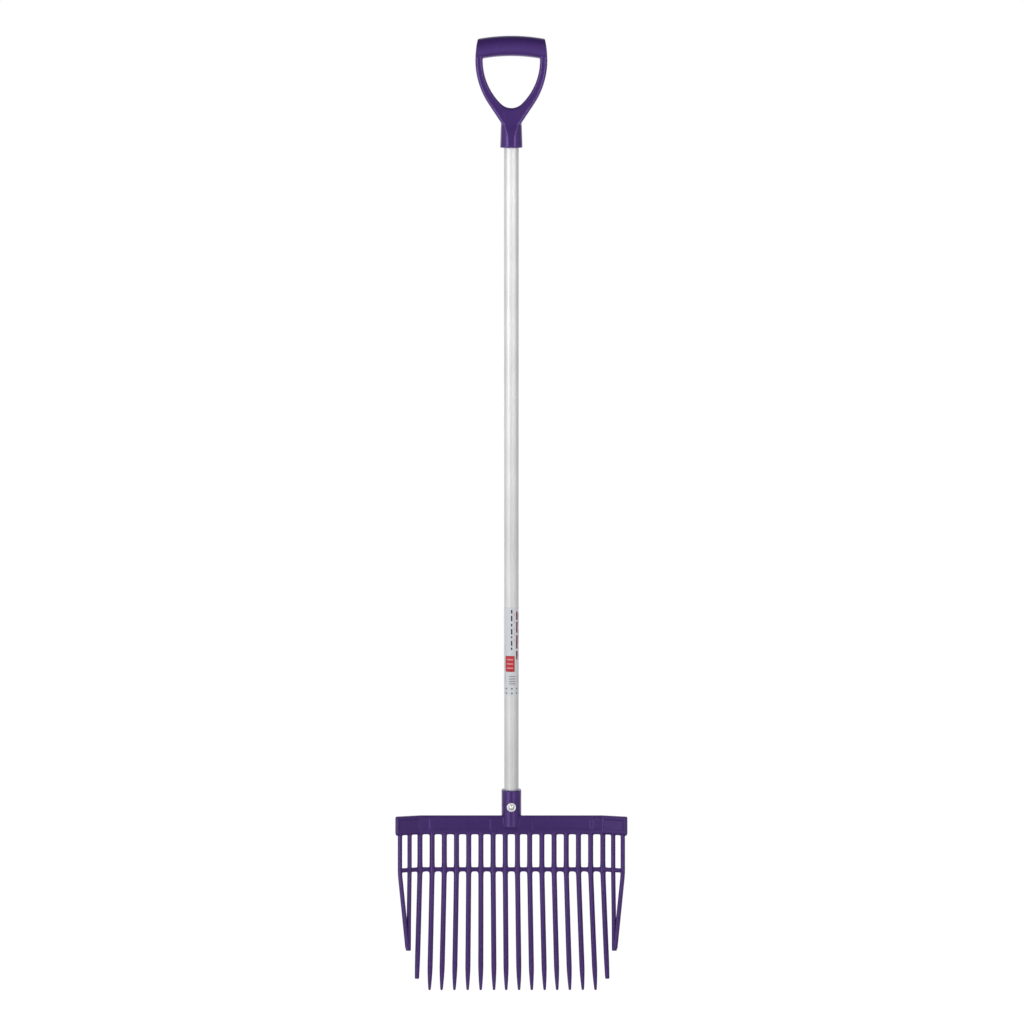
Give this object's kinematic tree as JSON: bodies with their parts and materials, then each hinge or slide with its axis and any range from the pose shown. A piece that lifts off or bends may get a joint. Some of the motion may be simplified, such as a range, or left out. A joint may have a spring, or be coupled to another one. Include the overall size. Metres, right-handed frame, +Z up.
{
  "type": "manure_fork",
  "caption": "Manure fork for sifting bedding: a wide moulded head with a comb of close, forward-curved tines and two wings, on a straight aluminium tube with a D-grip.",
  "frame": {"origin": "hanging point: the underside of the grip's bar, on the tube's axis", "axes": "+Z up along the tube towards the grip, +X along the header, -Y the way that the tines curve"},
  "size_m": [0.3792, 0.0998, 1.5401],
  "materials": {
    "purple_moulding": "injection-moulded, fine texture",
    "aluminium_tube": "drawn tube, satin",
    "zinc_steel": "zinc plated",
    "nylon_ring": "natural nylon",
    "birch_core": "turned, bare",
    "label_film": "printed film"
  },
  "bodies": {
    "root": {"fork_head": "purple_moulding", "shaft_tube": "aluminium_tube", "d_grip": "purple_moulding", "head_bolt": "zinc_steel", "bolt_washer_front": "zinc_steel", "bolt_washer_rear": "zinc_steel", "lock_nut": "zinc_steel", "lock_nut_ring": "nylon_ring", "shaft_plug": "birch_core", "grip_screw": "zinc_steel", "shaft_label": "label_film"}
  },
  "joints": []
}
